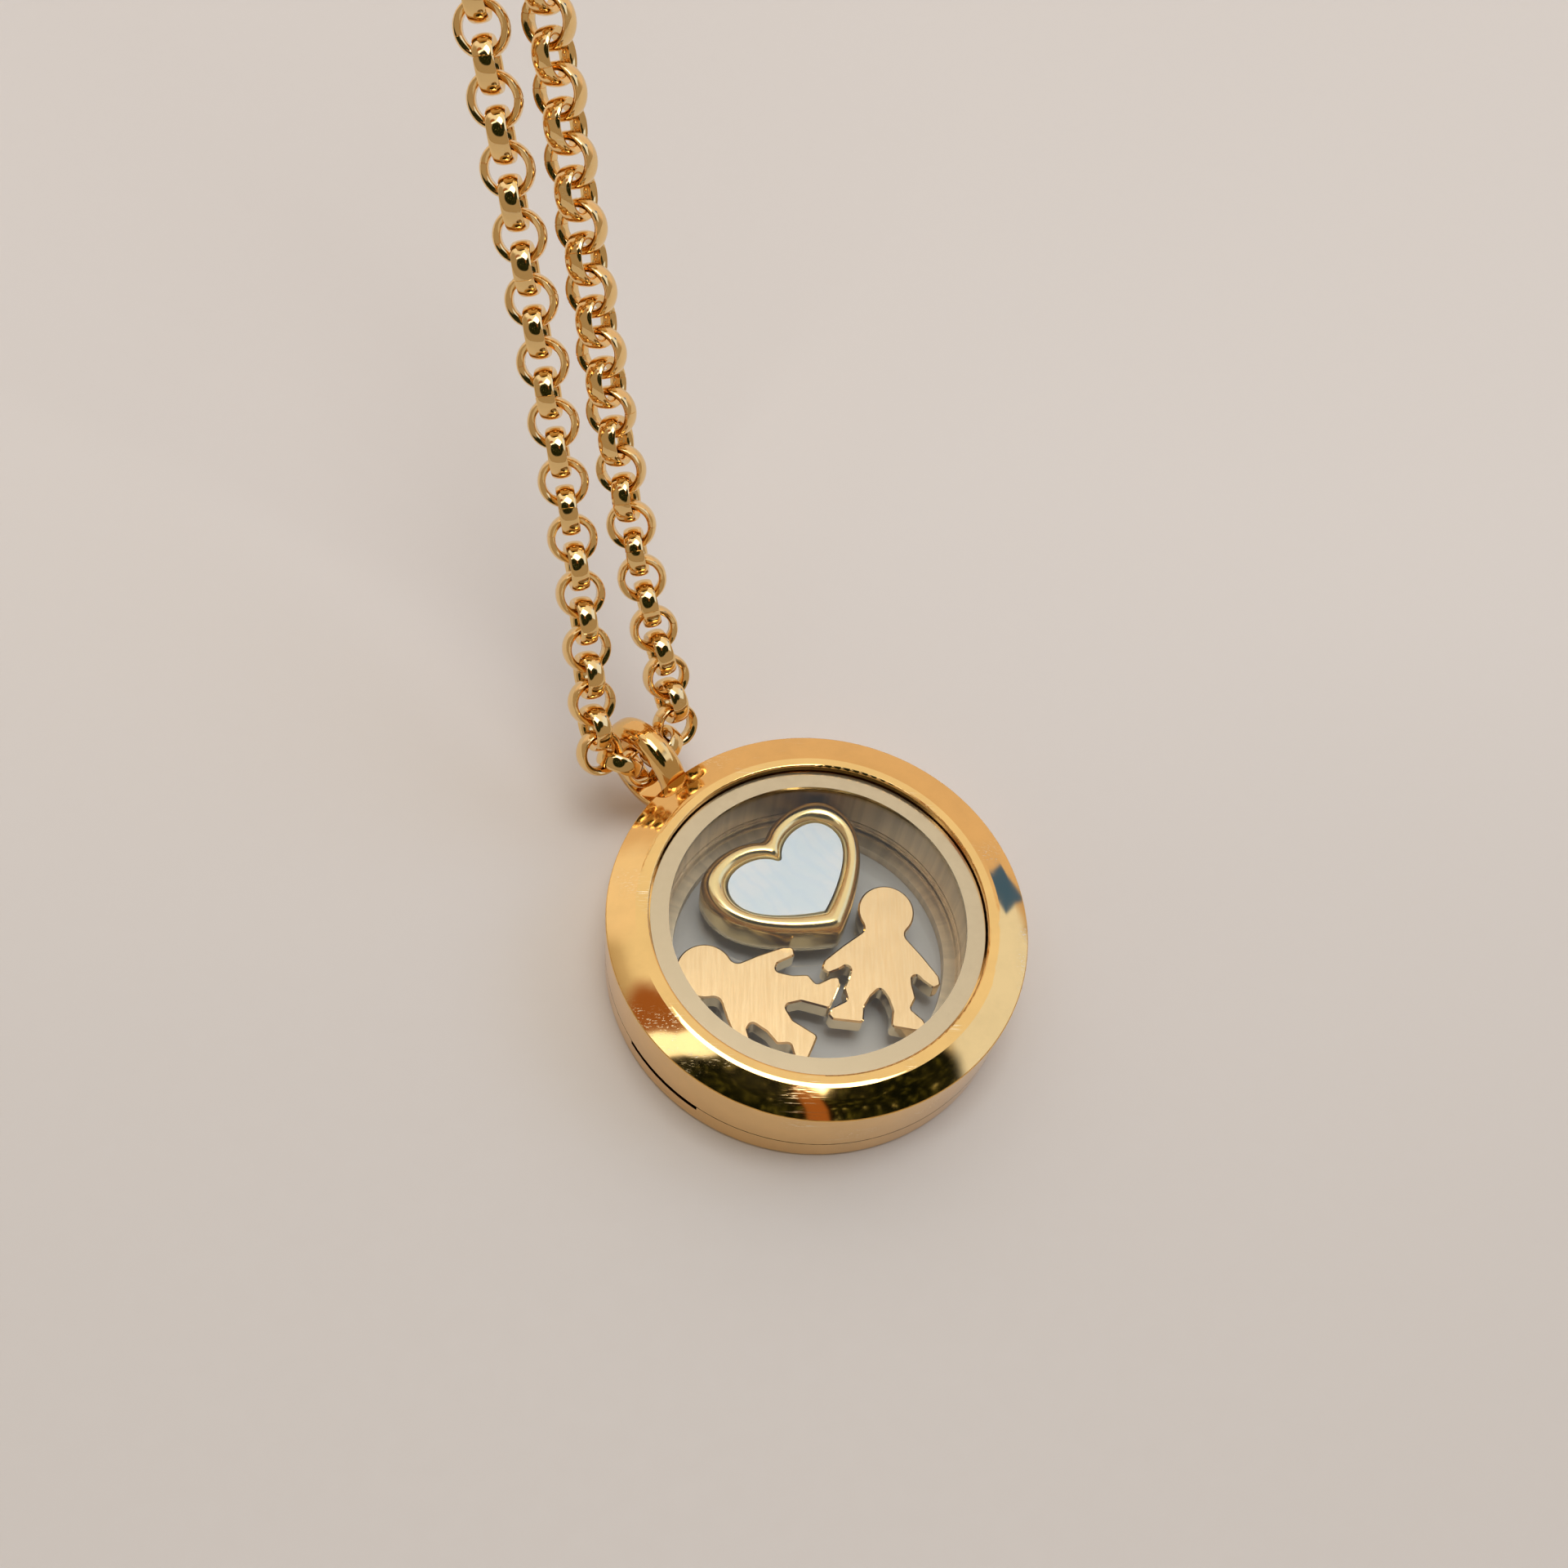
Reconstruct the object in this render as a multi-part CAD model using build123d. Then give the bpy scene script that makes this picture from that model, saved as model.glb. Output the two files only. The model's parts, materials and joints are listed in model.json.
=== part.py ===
from build123d import *
from math import cos, radians, sin
import os

# A floating locket on a belcher chain, in millimetres.
# The locket is drawn lying on its back, with its axis along Z and its back face at height 0.
# The chain leaves the bail on a slope and runs up to the point that the necklace hangs from.
# Every solid is then moved so that this hanging point is the origin.

# Case
CASE_RADIUS = 15.0
SEAM_HEIGHT = 2.35
SEAM_GAP = 0.1
CAVITY_RADIUS = 11.1
WINDOW_SEAT = 0.9
LIP_WALL = 0.8
LIP_INNER_RADIUS = CAVITY_RADIUS + WINDOW_SEAT
LIP_OUTER_RADIUS = LIP_INNER_RADIUS + LIP_WALL
LIP_HEIGHT = 7.8
LIP_RISE = 0.75
SHOULDER_HEIGHT = LIP_HEIGHT - LIP_RISE
BEVEL_CROWN = 0.04
FOOT_ROUND = 0.35
SHOULDER_ROUND = 0.12
CREST_ROUND = 1.0
LIP_ROUND = 0.15
FLOOR_STEP = 0.2
FLOOR_RIM_RADIUS = CAVITY_RADIUS - FLOOR_STEP

# Windows and the ring that frames the front one
GLASS_THICKNESS = 0.8
GLASS_LEDGE = 0.8
FIT_GAP = 0.1
REAR_GLASS_TOP = 1.9
RING_THICKNESS = 0.3
RING_OVERHANG = 0.5
RING_INNER_RADIUS = CAVITY_RADIUS - RING_OVERHANG
RING_DEPTH = 0.7
RING_TOP_HEIGHT = LIP_HEIGHT - RING_DEPTH

# Fingernail notch on the seam
NOTCH_ANGLE = 225.0
NOTCH_LENGTH = 6.6
NOTCH_HEIGHT = 0.5
NOTCH_DEPTH = 0.7

# Hinge, opposite the notch
HINGE_ANGLE = 45.0
HINGE_REACH = 0.35
KNUCKLE_RADIUS = 0.8
KNUCKLE_LENGTH = 2.2
PIN_RADIUS = 0.35
PIN_GAP = 0.06
KNUCKLE_GAP = 0.12

# Bail, a fixed oval loop that stands out from the front frame's wall
BAIL_ANGLE = 134.5
BAIL_REACH = 7.03
BAIL_LENGTH = 7.9
BAIL_HEIGHT = 8.3
BAIL_CENTRE_HEIGHT = 5.12
BAIL_THICKNESS = 1.2
BAIL_WIDTH = 2.1
BAIL_OUTER_ROUND = 0.85
BAIL_INNER_ROUND = 0.2
BAIL_ROOT = 0.6

# Heart charm, which fills the upper half of the cavity. Its outline is given as shares of its
# half width and of its height, from the point up.
HEART_ROOM = 1.05
HEART_HEIGHT = CAVITY_RADIUS - HEART_ROOM
HEART_SLIMNESS = 0.645
HEART_HALF_WIDTH = HEART_SLIMNESS * HEART_HEIGHT
HEART_NOTCH_DEPTH = 1.1
HEART_OUTLINE = (
    ("belly", 0.62, 0.27),
    ("flank", 1.0, 0.72),
    ("shoulder", 0.91, 0.90),
    ("crown", 0.57, 1.0),
)
HEART_THICKNESS = 3.4
HEART_RIM = 1.6
HEART_TIP_INSET = 1.2
HEART_NOTCH_INSET = 1.45
HEART_CORNER = 0.8
HEART_INNER_CORNER = 0.3
HEART_OUTER_ROUND = 0.75
HEART_INNER_ROUND = 0.25
PEARL_THICKNESS = 2.9
PEARL_GAP = 0.05
HEART_TURN = 39.5

# Figure charms, as tall as the cavity's radius: half outlines, as shares of the figure's height,
# from inside the head down to the middle
FIGURE_HEIGHT = CAVITY_RADIUS
FIGURE_THICKNESS = 1.6
FIGURE_CHAMFER = 0.12
HEAD_SHARE = 0.188
HEAD_RISE = 0.153
BOY_HALF = (
    ("neck", 0.05, 0.07),
    ("shoulder", 0.265, -0.14),
    ("arm", 0.378, -0.265),
    ("hand tip", 0.392, -0.325),
    ("hand foot", 0.345, -0.357),
    ("hand inner", 0.275, -0.315),
    ("armpit", 0.193, -0.245),
    ("waist", 0.207, -0.35),
    ("shorts", 0.235, -0.44),
    ("hem", 0.205, -0.52),
    ("foot top", 0.29, -0.58),
    ("toe", 0.325, -0.63),
    ("toe foot", 0.29, -0.668),
    ("heel", 0.088, -0.662),
    ("ankle", 0.09, -0.55),
    ("inner leg", 0.055, -0.47),
)
BOY_MIDDLE = -0.40
GIRL_HALF = (
    ("neck", 0.04, 0.07),
    ("shoulder", 0.245, -0.11),
    ("arm", 0.37, -0.235),
    ("hand tip", 0.40, -0.295),
    ("hand foot", 0.352, -0.335),
    ("hand inner", 0.25, -0.25),
    ("armpit", 0.193, -0.255),
    ("waist", 0.215, -0.37),
    ("skirt", 0.262, -0.46),
    ("hem", 0.222, -0.535),
    ("foot top", 0.305, -0.60),
    ("toe", 0.338, -0.65),
    ("toe foot", 0.29, -0.676),
    ("heel", 0.10, -0.676),
    ("ankle", 0.088, -0.60),
    ("inner leg", 0.07, -0.49),
)
GIRL_MIDDLE = -0.40
FIGURE_CORNER = 0.3
FIGURE_NECK_ROUND = 0.6
BOY_TURN = -6.0
GIRL_TURN = 67.5
CHARM_GAP = 0.05

# Where the charms lie in the cavity, as shares of its radius
HEART_TIP = (0.178, 0.002)
BOY_NECK = (0.475, 0.066)
GIRL_NECK = (-0.560, -0.330)

# Chain: round belcher links of half-round wire
LINK_DIAMETER = 3.65
WIRE_THICKNESS = 0.62
WIRE_WIDTH = 1.28
WIRE_FLAT_WIDTH = 0.84
WIRE_SHOULDER = 0.3
LINK_PITCH = 2.0
RIGHT_TWIST = 45.0
LEFT_TWIST = 20.0
TWIST_BEGINS = 4.0
TWIST_FULL = 28.0
TWIST_HOLDS = 62.0
TWIST_ENDS = 120.0

# Clasp: one plain ring that closes the loop in the part of the chain above the picture
CLASP_DIAMETER = 5.95
CLASP_WIRE = 1.0
CLASP_PITCH = 2.93
CLASP_SHARE = 0.58

# Direction of the chain from the bail, and of the line across its two strands
CHAIN_AZIMUTH = 110.5
CHAIN_ELEVATION = 55.0
BEND_TURN = 14.0
BEND_PITCH = 1.97
CHAIN_START_OUT = 2.6
CHAIN_START_HEIGHT = 4.95
BEND_DROP = 0.75
BEND_SHIFT = -0.65
STRAND_SHIFT = -0.65
BEND_FIRST_ANGLE = 26.0
BEND_SECOND_ANGLE = 42.0

# The chain's route from the bend up one strand: distance up the slope, offset to the side and
# turn of that offset about the slope. The other strand mirrors the offsets.
CHAIN_ROUTE = (
    (6.6, 3.15, 14.0),
    (11.5, 2.6, 9.0),
    (18.0, 2.2, 4.0),
    (30.0, 2.0, 0.0),
    (45.0, 2.05, 0.0),
    (62.0, 2.6, 0.0),
    (90.0, 9.0, 0.0),
    (122.0, 19.5, 0.0),
    (156.0, 26.5, 0.0),
    (186.0, 24.0, 0.0),
    (203.6, 12.4, 0.0),
)
CHAIN_TOP = 209.0


def around(angle, radius, height):
    """A point at an angle about the case's axis."""
    return Vector(radius * cos(radians(angle)), radius * sin(radians(angle)), height)


def turned(profile):
    """A solid of revolution about Z from a closed wire drawn in radius and height."""
    return revolve(make_face(profile), Axis.Z)


def disc_ring(inner, outer, low, high):
    """A flat ring, or a disc where inner is 0."""
    ring = Pos(0, 0, low) * Cylinder(outer, high - low, align=(Align.CENTER, Align.CENTER, Align.MIN))
    if inner:
        height = high - low
        ring -= Pos(0, 0, low) * Cylinder(inner, height, align=(Align.CENTER, Align.CENTER, Align.MIN))
    return ring


# Chain directions
slope = Vector(
    cos(radians(CHAIN_ELEVATION)) * cos(radians(CHAIN_AZIMUTH)),
    cos(radians(CHAIN_ELEVATION)) * sin(radians(CHAIN_AZIMUTH)),
    sin(radians(CHAIN_ELEVATION)),
)
across = Vector(sin(radians(CHAIN_AZIMUTH)), -cos(radians(CHAIN_AZIMUTH)), 0)
bail_middle = around(BAIL_ANGLE, CASE_RADIUS + BAIL_REACH - BAIL_LENGTH / 2, BAIL_CENTRE_HEIGHT)
chain_start = around(BAIL_ANGLE, CASE_RADIUS + CHAIN_START_OUT, CHAIN_START_HEIGHT)
hang_point = chain_start + slope * CHAIN_TOP
to_origin = Pos(-hang_point.X, -hang_point.Y, -hang_point.Z)


def chain_point(up, side, turn):
    """A point of the chain's route, from its distance up the slope and its offset."""
    return chain_start + slope * up + across.rotate(Axis((0, 0, 0), slope), turn) * side


def charm_place(spot, turn):
    """Where a charm lies on the rear window."""
    return Pos(spot[0] * CAVITY_RADIUS, spot[1] * CAVITY_RADIUS, REAR_GLASS_TOP + CHARM_GAP) * Rot(0, 0, turn)


# Hinge line, which runs along the rim at the seam
hinge_middle = around(HINGE_ANGLE, CASE_RADIUS + HINGE_REACH, SEAM_HEIGHT + SEAM_GAP / 2)
hinge_plane = Plane(
    origin=hinge_middle,
    x_dir=around(HINGE_ANGLE, 1, 0),
    z_dir=around(HINGE_ANGLE + 90, 1, 0),
)


def hinge_barrel(radius, length, shift=0.0):
    """A cylinder on the hinge line, shifted along it."""
    return hinge_plane.location * Pos(0, 0, shift) * Cylinder(radius, length)


side_shift = KNUCKLE_LENGTH + KNUCKLE_GAP
pin_bore = PIN_RADIUS + PIN_GAP
swing_radius = KNUCKLE_RADIUS + KNUCKLE_GAP
full_hinge = 3 * KNUCKLE_LENGTH + 2 * KNUCKLE_GAP


def make_bail():
    """The oval loop: a rounded band whose hole runs along the rim."""
    outer_out = BAIL_LENGTH / 2
    outer_up = BAIL_HEIGHT / 2
    plane = Plane(
        origin=bail_middle,
        x_dir=around(BAIL_ANGLE, 1, 0),
        z_dir=around(BAIL_ANGLE - 90, 1, 0),
    )
    band = extrude(plane * Ellipse(outer_out, outer_up), BAIL_WIDTH / 2, both=True)
    hole_size = (outer_out - BAIL_THICKNESS, outer_up - BAIL_THICKNESS)
    band -= extrude(plane * Ellipse(*hole_size), BAIL_WIDTH, both=True)
    sides = band.faces().filter_by(GeomType.PLANE)
    band = fillet([edge for side in sides for edge in side.inner_wires()[0].edges()], BAIL_INNER_ROUND)
    sides = band.faces().filter_by(GeomType.PLANE)
    band = fillet([edge for side in sides for edge in side.outer_wire().edges()], BAIL_OUTER_ROUND)
    band -= Cylinder(CASE_RADIUS - BAIL_ROOT, 2 * (BAIL_CENTRE_HEIGHT + BAIL_HEIGHT))
    band -= disc_ring(0, CASE_RADIUS, SHOULDER_HEIGHT - SHOULDER_ROUND, BAIL_CENTRE_HEIGHT + BAIL_HEIGHT)
    return band


def make_front_frame():
    """The front half of the case: side wall, wide bevel, lip, window seat and bail."""
    low = SEAM_HEIGHT + SEAM_GAP
    ledge_height = RING_TOP_HEIGHT - RING_THICKNESS - GLASS_THICKNESS - FIT_GAP
    bevel_middle = Vector(
        (CASE_RADIUS + LIP_OUTER_RADIUS) / 2,
        0,
        (SHOULDER_HEIGHT + LIP_HEIGHT) / 2 + BEVEL_CROWN,
    )
    corners = [
        Vector(CAVITY_RADIUS, 0, low),
        Vector(CASE_RADIUS, 0, low),
        Vector(CASE_RADIUS, 0, SHOULDER_HEIGHT),
        Vector(LIP_OUTER_RADIUS, 0, LIP_HEIGHT),
        Vector(LIP_INNER_RADIUS, 0, LIP_HEIGHT),
        Vector(LIP_INNER_RADIUS, 0, ledge_height),
        Vector(CAVITY_RADIUS, 0, ledge_height),
    ]
    outline = [
        Line(corners[0], corners[1]),
        Line(corners[1], corners[2]),
        ThreePointArc(corners[2], bevel_middle, corners[3]),
        Line(corners[3], corners[4]),
        Line(corners[4], corners[5]),
        Line(corners[5], corners[6]),
        Line(corners[6], corners[0]),
    ]
    frame = turned(outline)
    circles = frame.edges().filter_by(GeomType.CIRCLE)
    shoulder = circles.sort_by(lambda edge: abs(edge.center().Z - SHOULDER_HEIGHT))[0]
    frame = fillet(shoulder, SHOULDER_ROUND)
    lip_edges = frame.edges().filter_by(GeomType.CIRCLE).group_by(Axis.Z)[-1].sort_by(SortBy.LENGTH)
    frame = fillet(lip_edges[-1], CREST_ROUND)
    lip_edges = frame.edges().filter_by(GeomType.CIRCLE).group_by(Axis.Z)[-1].sort_by(SortBy.LENGTH)
    frame = fillet(lip_edges[0], LIP_ROUND)
    for side in (-1, 1):
        frame -= hinge_barrel(swing_radius, KNUCKLE_LENGTH + 2 * KNUCKLE_GAP, side * side_shift)
    frame += hinge_barrel(KNUCKLE_RADIUS, KNUCKLE_LENGTH)
    frame += make_bail()
    frame -= hinge_barrel(pin_bore, full_hinge + 2 * KNUCKLE_GAP)
    return frame


def make_back_cover():
    """The rear half of the case, with the rear window's seat, the notch and two knuckles."""
    cover = disc_ring(FLOOR_RIM_RADIUS - GLASS_LEDGE, CASE_RADIUS, 0, SEAM_HEIGHT)
    seat_low = REAR_GLASS_TOP - GLASS_THICKNESS - FIT_GAP
    cover -= disc_ring(0, FLOOR_RIM_RADIUS + FIT_GAP, seat_low, SEAM_HEIGHT)
    cover -= disc_ring(0, CAVITY_RADIUS, REAR_GLASS_TOP + FIT_GAP, SEAM_HEIGHT)
    foot = cover.edges().group_by(Axis.Z)[0].sort_by(SortBy.LENGTH)[-1]
    cover = fillet(foot, FOOT_ROUND)
    notch_place = around(NOTCH_ANGLE, CASE_RADIUS, SEAM_HEIGHT - NOTCH_HEIGHT / 2)
    notch = Pos(notch_place) * Rot(0, 0, NOTCH_ANGLE) * Box(2 * NOTCH_DEPTH, NOTCH_LENGTH, NOTCH_HEIGHT)
    cover -= notch
    cover -= hinge_barrel(swing_radius, KNUCKLE_LENGTH + 2 * KNUCKLE_GAP)
    for side in (-1, 1):
        cover += hinge_barrel(KNUCKLE_RADIUS, KNUCKLE_LENGTH, side * side_shift)
    cover -= hinge_barrel(pin_bore, full_hinge + 2 * KNUCKLE_GAP)
    return cover


def make_windows():
    """The two clear windows and the flat ring in front of the front one."""
    glass_top = RING_TOP_HEIGHT - RING_THICKNESS
    window_radius = LIP_INNER_RADIUS - FIT_GAP
    front = disc_ring(0, window_radius, glass_top - GLASS_THICKNESS, glass_top - FIT_GAP / 2)
    rear = disc_ring(0, FLOOR_RIM_RADIUS, REAR_GLASS_TOP - GLASS_THICKNESS, REAR_GLASS_TOP)
    ring = disc_ring(RING_INNER_RADIUS, window_radius, glass_top, RING_TOP_HEIGHT)
    return front, rear, ring


def heart_face(inset, corner):
    """The heart's outline, point down, drawn in from its outer edge by an inset."""
    half_width = HEART_HALF_WIDTH - inset
    low = HEART_TIP_INSET * inset
    top = HEART_HEIGHT - inset
    height = top - low
    side = [(x * half_width, low + y * height) for name, x, y in HEART_OUTLINE]
    dip = (0, HEART_HEIGHT - HEART_NOTCH_DEPTH - HEART_NOTCH_INSET * inset)
    right = Spline((0, low), *side, dip)
    face = make_face([right, right.mirror(Plane.YZ)])
    point_and_dip = face.vertices().filter_by(lambda vertex: abs(vertex.X) < FIT_GAP)
    return fillet(point_and_dip, corner)


def make_heart():
    """The puffy rim and the inlay that it holds."""
    outline = extrude(heart_face(0, HEART_CORNER), HEART_THICKNESS)
    rim = outline - extrude(heart_face(HEART_RIM, HEART_INNER_CORNER), HEART_THICKNESS)
    rim = fillet(rim.faces().sort_by(Axis.Z)[-1].outer_wire().edges(), HEART_OUTER_ROUND)
    rim = fillet(rim.faces().sort_by(Axis.Z)[-1].inner_wires()[0].edges(), HEART_INNER_ROUND)
    inlay = extrude(heart_face(HEART_RIM + PEARL_GAP, HEART_INNER_CORNER), PEARL_THICKNESS)
    place = charm_place(HEART_TIP, HEART_TURN)
    return place * rim, place * inlay


def make_figure(half, middle, neck, turn):
    """A flat figure with a round head, from its half outline."""
    right = [(x * FIGURE_HEIGHT, y * FIGURE_HEIGHT) for name, x, y in half]
    left = [(-x, y) for x, y in reversed(right)]
    outline = right + [(0, middle * FIGURE_HEIGHT)] + left
    body = make_face(Polyline(*outline, close=True))
    body = fillet(body.vertices(), FIGURE_CORNER)
    head_radius = HEAD_SHARE * FIGURE_HEIGHT
    head = Pos(0, HEAD_RISE * FIGURE_HEIGHT) * Circle(head_radius)
    silhouette = body + head
    neck_corners = silhouette.vertices().filter_by(lambda vertex: abs(vertex.Y) < FIGURE_CORNER and vertex.X)
    silhouette = fillet(neck_corners, FIGURE_NECK_ROUND)
    figure = extrude(silhouette, FIGURE_THICKNESS)
    top = figure.edges().group_by(Axis.Z)[-1]
    figure = chamfer(top, FIGURE_CHAMFER)
    return charm_place(neck, turn) * figure


def make_link():
    """One round link of half-round wire, about Z."""
    inner = LINK_DIAMETER / 2 - WIRE_THICKNESS
    shoulder = inner + WIRE_SHOULDER
    flat = WIRE_FLAT_WIDTH / 2
    half = WIRE_WIDTH / 2
    outer = LINK_DIAMETER / 2
    outline = [
        Line((inner, 0, -flat), (inner, 0, flat)),
        Line((inner, 0, flat), (shoulder, 0, half)),
        ThreePointArc((shoulder, 0, half), (outer, 0, 0), (shoulder, 0, -half)),
        Line((shoulder, 0, -half), (inner, 0, -flat)),
    ]
    return turned(outline)


def make_clasp():
    """The plain closing ring, about Z."""
    return Torus((CLASP_DIAMETER - CLASP_WIRE) / 2, CLASP_WIRE / 2)


def chain_centres():
    """Centres of all links round the loop from the one in the bail, and the clasp's number."""
    bend = [(BEND_DROP, 0.0)]
    for angle in (BEND_FIRST_ANGLE, BEND_SECOND_ANGLE):
        up, side = bend[-1]
        rise = BEND_PITCH * sin(radians(angle))
        bend.append((up + rise, side + BEND_PITCH * cos(radians(angle))))
    right_bend = [chain_point(up, BEND_SHIFT + side, BEND_TURN) for up, side in bend]
    left_bend = [chain_point(up, BEND_SHIFT - side, BEND_TURN) for up, side in bend[1:]]
    right = [chain_point(up, STRAND_SHIFT + side, turn) for up, side, turn in CHAIN_ROUTE]
    left = [chain_point(up, STRAND_SHIFT - side, turn) for up, side, turn in CHAIN_ROUTE]
    way = [right_bend[-1]] + right + [hang_point] + left[::-1] + [left_bend[-1]]
    route = Spline(*way)
    steps = round((route.length - 2 * CLASP_PITCH) / LINK_PITCH) + 2
    steps += steps % 2
    even_pitch = (route.length - 2 * CLASP_PITCH) / (steps - 2)
    clasp_number = 2 * round(CLASP_SHARE * steps / 2)
    stops = [0.0]
    for number in range(1, steps + 1):
        near_clasp = number in (clasp_number, clasp_number + 1)
        stops.append(stops[-1] + (CLASP_PITCH if near_clasp else even_pitch))
    on_route = [route.position_at(stop / route.length) for stop in stops]
    centres = right_bend + on_route[1:] + [left_bend[0]]
    print("chain pitch", round(even_pitch, 4), "links", len(centres), "route", round(route.length, 2))
    return centres, clasp_number + 2


def link_place(centres, number):
    """Where a link sits: along the chain, every other one a quarter turn round it."""
    count = len(centres)
    here = centres[number]
    along = (centres[(number + 1) % count] - centres[number - 1]).normalized()
    bend_across = across.rotate(Axis((0, 0, 0), slope), BEND_TURN)
    up = (here - chain_start).dot(slope)
    rising = min(max((up - TWIST_BEGINS) / (TWIST_FULL - TWIST_BEGINS), 0.0), 1.0)
    falling = min(max((TWIST_ENDS - up) / (TWIST_ENDS - TWIST_HOLDS), 0.0), 1.0)
    reference = slope.cross(bend_across.rotate(Axis((0, 0, 0), slope), -BEND_TURN * rising))
    normal = (reference - along * reference.dot(along)).normalized()
    full_twist = LEFT_TWIST if number > count / 2 else -RIGHT_TWIST
    twist = full_twist * rising * falling
    normal = normal.rotate(Axis((0, 0, 0), along), twist + 90 * (number % 2))
    return Plane(origin=here, x_dir=along, z_dir=normal).location


def make_chain():
    """The links of both halves and the clasp."""
    link = make_link()
    centres, clasp_number = chain_centres()
    right = []
    left = []
    clasp = None
    for number in range(len(centres)):
        place = link_place(centres, number)
        if number == clasp_number:
            clasp = place * make_clasp()
        elif number < clasp_number:
            right.append(place * link)
        else:
            left.append(place * link)
    return right, left, clasp


def write(name, solids):
    """Move solids to the shared origin and write them as one node."""
    moved = [to_origin * solid for solid in solids]
    shape = moved[0] if len(moved) == 1 else Compound(children=moved)
    shape.label = name
    export_step(shape, f"parts/{name}.step")


def main():
    os.makedirs("parts", exist_ok=True)
    front_glass, back_glass, glass_ring = make_windows()
    heart_frame, heart_pearl = make_heart()
    chain_right, chain_left, clasp = make_chain()
    write("front_frame", [make_front_frame()])
    write("back_cover", [make_back_cover()])
    write("front_glass", [front_glass])
    write("back_glass", [back_glass])
    write("glass_ring", [glass_ring])
    write("hinge_pin", [hinge_barrel(PIN_RADIUS, full_hinge)])
    write("heart_frame", [heart_frame])
    write("heart_pearl", [heart_pearl])
    write("boy_charm", [make_figure(BOY_HALF, BOY_MIDDLE, BOY_NECK, BOY_TURN)])
    write("girl_charm", [make_figure(GIRL_HALF, GIRL_MIDDLE, GIRL_NECK, GIRL_TURN)])
    write("chain_right", chain_right)
    write("chain_left", chain_left)
    write("clasp", [clasp])
    print("locket centre", [round(-value, 3) for value in hang_point])
    print("hinge middle", [round(value, 3) for value in hinge_middle - hang_point])


main()
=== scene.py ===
import json
from math import cos, pi, radians, sin, tan

import bmesh
import bpy
import numpy as np
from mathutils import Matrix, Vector


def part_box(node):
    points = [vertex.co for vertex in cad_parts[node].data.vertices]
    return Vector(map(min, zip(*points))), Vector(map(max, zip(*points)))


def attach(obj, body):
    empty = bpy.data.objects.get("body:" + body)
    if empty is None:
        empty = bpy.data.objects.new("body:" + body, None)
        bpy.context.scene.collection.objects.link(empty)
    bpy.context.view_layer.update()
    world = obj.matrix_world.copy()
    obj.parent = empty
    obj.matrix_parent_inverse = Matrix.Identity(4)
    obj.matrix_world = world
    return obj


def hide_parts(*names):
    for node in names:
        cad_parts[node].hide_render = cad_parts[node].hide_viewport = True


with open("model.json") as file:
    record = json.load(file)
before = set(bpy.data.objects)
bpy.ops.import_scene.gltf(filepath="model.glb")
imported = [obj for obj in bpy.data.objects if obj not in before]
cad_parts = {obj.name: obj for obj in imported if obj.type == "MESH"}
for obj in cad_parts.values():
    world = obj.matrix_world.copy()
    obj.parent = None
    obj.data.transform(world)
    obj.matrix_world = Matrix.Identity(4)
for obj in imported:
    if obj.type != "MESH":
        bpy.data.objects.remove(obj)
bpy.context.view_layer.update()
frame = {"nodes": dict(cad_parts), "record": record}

MM = 0.001

# Camera, placed from the case's centre on the floor
CAMERA_PLACE = Vector((-12.681, -47.685, 102.010)) * MM
CAMERA_TURN = (31.457, -6.116, 0.0)
CAMERA_LENS = 34.68
SENSOR = 36.0
CLIP_START = 1 * MM

# Colours of the part, linear
GOLD = (0.91, 0.57, 0.205)
CHAIN_GOLD = (0.93, 0.64, 0.28)
HEART_GOLD = (0.93, 0.70, 0.32)
WORN_GOLD = (1.0, 0.88, 0.62)
INNER_GOLD = (0.82, 0.66, 0.45)
BRUSHED_GOLD = (0.90, 0.60, 0.29)
# Painted highlight: the pale colour of the figures' cut edges, standing in for their glint
CUT_EDGE_HIGHLIGHT = (0.96, 0.80, 0.52)
CREAM = (0.64, 0.51, 0.32)
PEARL = (0.83, 0.95, 1.0)
PEARL_BRIGHT = (0.92, 0.98, 1.0)
PEARL_SHADE = (0.72, 0.87, 1.0)
GLASS_TINT = (0.985, 0.99, 0.987)

# Each NOISE is a texture's scale, detail and roughness. Each SPAN is the part of a texture's values
# over which a look changes, and each DARK is what a colour is multiplied by in its darker patches.
MOST = (0.3, 0.7)
PLAIN_DARK = 0.93

# Polished metal: roughness and wear of each kind, then what they share
CASE_POLISH = (0.05, 0.8)
CHAIN_POLISH = (0.07, 0.35)
HEART_POLISH = (0.17, 0.3)
SCRATCH_STRETCH = (260.0, 9500.0, 9500.0)
SCRATCH_TURNS = ((0, 0, 12), (0, 0, 66), (20, 0, 118), (0, 35, 160))
SCRATCH_NOISE = (1.0, 2.0, 0.55)
SCRATCH_SPAN = (0.64, 0.70)
GROUP_NOISE = (190.0, 3.0, 0.6)
GROUP_SPAN = (0.50, 0.68)
HAZE_NOISE = (380.0, 4.0, 0.6)
HAZE_SPAN = (0.35, 0.75)
HAZE_ROUGHNESS = 0.03
WEAR_ROUGHNESS = 0.3
WAVE_NOISE = (130.0, 1.0, 0.5)
WAVE_HEIGHT = 6.0
POLISH_BUMP = 0.0008 * MM

# The metal inside the case is satin and rippled, up to this far outside the rear window
CAVITY_MARGIN = 0.25 * MM
RIPPLE_SCALE = 14.0
RIPPLE_DARK = 0.85
SATIN_ROUGHNESS = 0.30

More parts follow.
